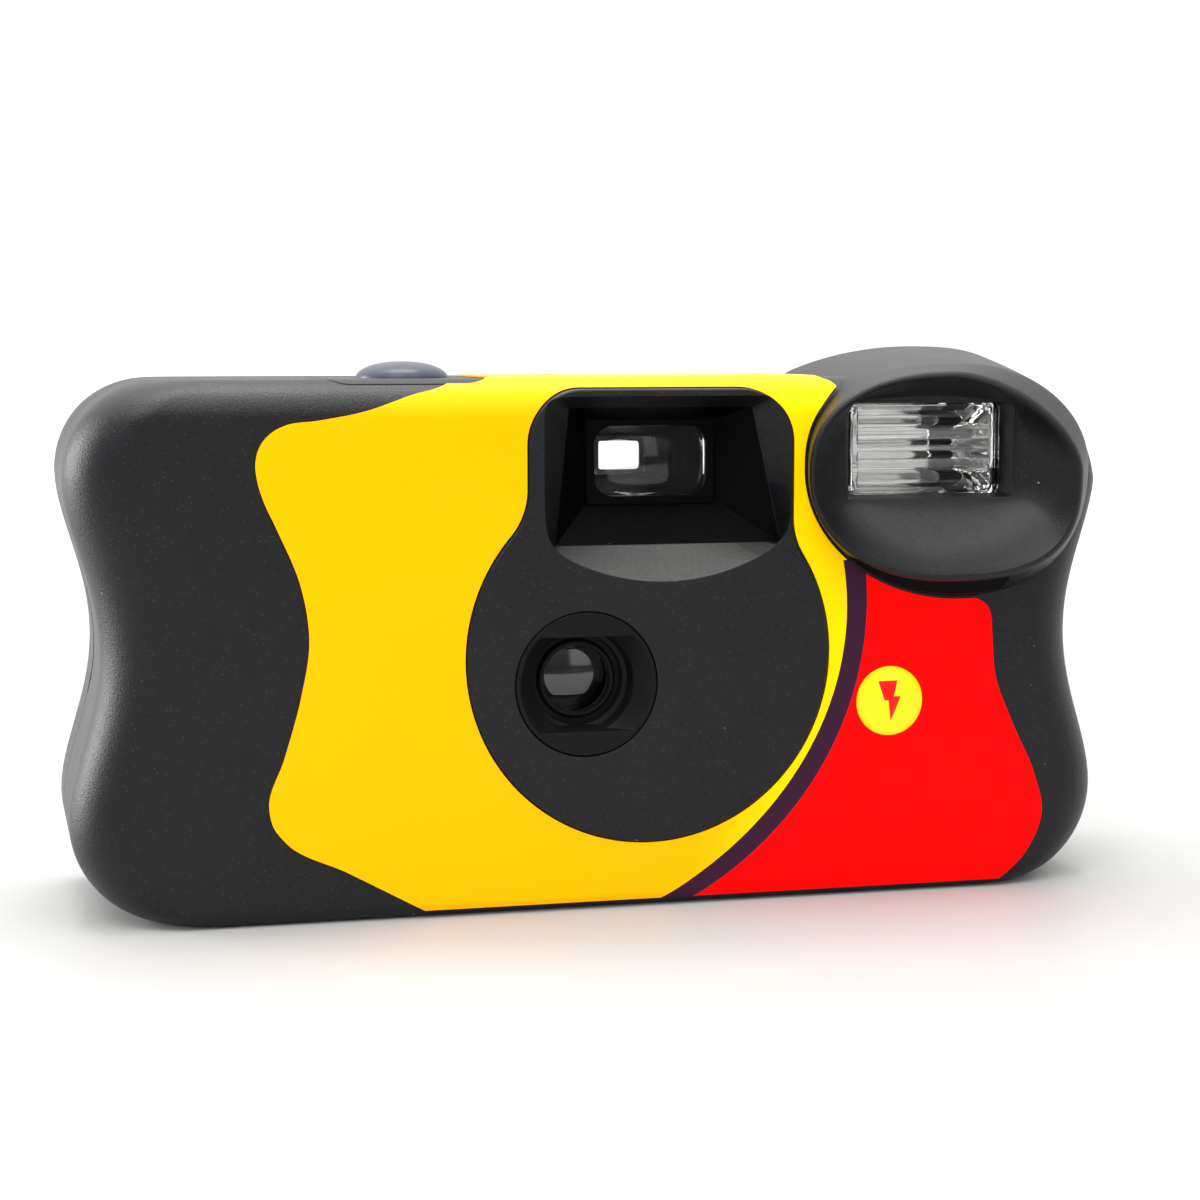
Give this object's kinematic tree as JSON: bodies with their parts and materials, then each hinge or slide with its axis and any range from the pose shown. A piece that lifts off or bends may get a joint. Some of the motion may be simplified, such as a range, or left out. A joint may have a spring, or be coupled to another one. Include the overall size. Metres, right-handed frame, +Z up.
{
  "type": "disposable film camera",
  "caption": "Waisted single-use film camera with a raised flash housing, recessed lens and finder, thumbwheel film advance, shutter key, flash key and battery flap.",
  "frame": {"origin": "centre of the bounding box's bottom face: middle of the width and depth, on the resting plane", "axes": "+X along the width, to the viewer's right when facing the lens; +Y from the lens side to the back; +Z up"},
  "size_m": [0.118, 0.038, 0.0619],
  "materials": {
    "black_shell": "fine-textured satin moulding",
    "yellow_label": "printed gloss film, yellow with red and purple fields",
    "back_film": "printed gloss film",
    "black_frame": "plain moulding",
    "grey_button": "polished slate grey moulding",
    "yellow_button": "glossy moulding with a printed bolt",
    "black_wheel": "ribbed moulding",
    "lens_ring": "fine-textured satin moulding",
    "clear_lens": "polished clear acrylic",
    "black_metal": "black blued sheet",
    "spring_steel": "drawn wire and strip",
    "white_acetal": "natural acetal",
    "counter_white": "white moulding with plain dial marks",
    "cartridge_metal": "lithographed tin",
    "cap_black": "black pressed tin",
    "spool_black": "plain moulding",
    "film_base": "emulsion-coated film",
    "chrome_bowl": "bright-rolled sheet",
    "tube_glass": "clear glass",
    "board_green": "phenolic laminate",
    "parts_black": "moulded component bodies",
    "can_sleeve": "aluminium can in a shrink sleeve",
    "copper_core": "varnished winding on a ferrite core",
    "lamp_amber": "amber light pipe",
    "cell_jacket": "steel can, zinc filling and printed jacket taken together",
    "contact_tin": "tinned strip"
  },
  "bodies": {
    "camera_body": {"front_cover": "black_shell", "back_cover": "black_shell", "front_label": "yellow_label", "back_label": "back_film", "main_frame": "black_frame", "lens_retainer": "lens_ring", "lens_holder": "black_frame", "front_lens": "clear_lens", "aperture_ring": "black_metal", "rear_lens": "clear_lens", "blade_spring": "spring_steel", "striker_spring": "spring_steel", "release_spring": "spring_steel", "counter_window": "clear_lens", "cartridge_shell": "cartridge_metal", "cartridge_caps": "cap_black", "film_strip": "film_base", "finder_housing": "black_frame", "finder_front_lens": "clear_lens", "finder_eyepiece": "clear_lens", "flash_window": "clear_lens", "flash_reflector": "chrome_bowl", "flash_tube": "tube_glass", "circuit_board": "board_green", "board_components": "parts_black", "capacitor": "can_sleeve", "transformer": "copper_core", "trigger_coil": "copper_core", "ready_lamp": "lamp_amber", "flash_switch": "contact_tin", "sync_contact": "contact_tin", "battery": "cell_jacket", "contact_plus": "contact_tin", "contact_minus": "contact_tin"},
    "winding": {"thumbwheel": "black_wheel", "cartridge_spool": "spool_black"},
    "metering": {"sprocket": "white_acetal", "metering_cam": "white_acetal"},
    "counter": {"counter_wheel": "counter_white"},
    "supply": {"supply_spool": "spool_black", "film_roll": "film_base"},
    "shutter_key": {"shutter_button": "grey_button"},
    "flash_key": {"flash_button": "yellow_button"},
    "striker": {"striker_lever": "white_acetal"},
    "blade": {"shutter_blade": "black_metal"},
    "release": {"release_lever": "white_acetal"},
    "pawl": {"ratchet_pawl": "white_acetal"},
    "door": {"battery_door": "black_shell"}
  },
  "joints": [
    {"name": "winding_spin", "type": "hinge", "parent": "camera_body", "child": "winding", "pos_m": [-0.03903, 0.0037, 0.0498], "axis": [0, 0, 1], "continuous": true},
    {"name": "metering_spin", "type": "hinge", "parent": "camera_body", "child": "metering", "pos_m": [-0.0175, 0.00892, 0.0439], "axis": [0, 0, 1], "continuous": true},
    {"name": "supply_spin", "type": "hinge", "parent": "camera_body", "child": "supply", "pos_m": [0.038, 0.00692, 0.01], "axis": [0, 0, 1], "continuous": true},
    {"name": "counter_spin", "type": "hinge", "parent": "camera_body", "child": "counter", "pos_m": [-0.008, 0.003, 0.0559], "axis": [0, 0, 1], "continuous": true},
    {"name": "shutter_button_press", "type": "slide", "parent": "camera_body", "child": "shutter_key", "axis": [0, 0, -1], "range_m": [0, 0.001], "stiffness_N_per_m": 400},
    {"name": "flash_button_press", "type": "slide", "parent": "camera_body", "child": "flash_key", "axis": [0, 1, 0], "range_m": [0, 0.0007], "stiffness_N_per_m": 400},
    {"name": "striker_swing", "type": "hinge", "parent": "camera_body", "child": "striker", "pos_m": [-0.008, 0.003, 0.0439], "axis": [0, 0, 1], "range_deg": [0, 20], "stiffness_Nm_per_rad": 0.0008, "deforming": ["striker_spring"]},
    {"name": "blade_swing", "type": "hinge", "parent": "camera_body", "child": "blade", "pos_m": [-0.009, -0.00439, 0.04], "axis": [0, 1, 0], "range_deg": [0, 28], "deforming": ["blade_spring"]},
    {"name": "release_swing", "type": "hinge", "parent": "camera_body", "child": "release", "pos_m": [-0.0223, -0.0014, 0.0439], "axis": [0, 0, 1], "range_deg": [0, 12], "stiffness_Nm_per_rad": 0.0008, "deforming": ["release_spring"]},
    {"name": "pawl_swing", "type": "hinge", "parent": "camera_body", "child": "pawl", "pos_m": [-0.02938, -0.0044, 0.0439], "axis": [0, 0, 1], "range_deg": [0, 8], "stiffness_Nm_per_rad": 0.0008},
    {"name": "battery_door_hinge", "type": "hinge", "parent": "camera_body", "child": "door", "pos_m": [0, 0.0023, 0.00115], "axis": [1, 0, 0], "range_deg": [0, 100]}
  ],
  "couplings": [
    {"joint": "metering_spin", "follows": "winding_spin", "ratio": 1.1574},
    {"joint": "supply_spin", "follows": "winding_spin", "ratio": 0.9333},
    {"joint": "counter_spin", "follows": "winding_spin", "ratio": -0.04134},
    {"joint": "blade_swing", "follows": "striker_swing", "ratio": 1.4}
  ]
}
